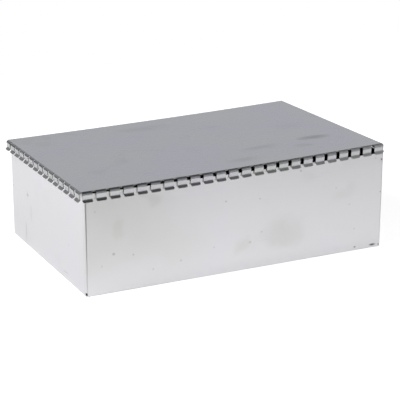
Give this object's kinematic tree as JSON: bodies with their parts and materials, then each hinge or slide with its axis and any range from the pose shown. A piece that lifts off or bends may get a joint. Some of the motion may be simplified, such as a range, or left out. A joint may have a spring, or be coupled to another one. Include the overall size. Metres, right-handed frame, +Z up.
{
  "type": "sheet metal shielding case",
  "caption": "Rectangular folded sheet metal case with a plain open-topped tray and a press-on lid edged with spring fingers.",
  "frame": {"origin": "centre of the tray's underside, which is the face it stands on", "axes": "+X along the long side towards the end where the lid stands proud, +Z up, -Y the long side with the corner seams at its ends that is seen as the front"},
  "size_m": [0.1654, 0.1054, 0.0549],
  "materials": {
    "tray_tinplate": "bright tinned cold-rolled sheet steel, 0.5 mm, lightly handled",
    "lid_tinplate": "bright tinned spring sheet steel, 0.4 mm, lightly handled"
  },
  "bodies": {
    "case": {"tray": "tray_tinplate"},
    "lid": {"lid": "lid_tinplate"}
  },
  "joints": [
    {"name": "lid_lift", "type": "slide", "parent": "case", "child": "lid", "axis": [0, 0, 1], "range_m": [0, 0.06]}
  ]
}
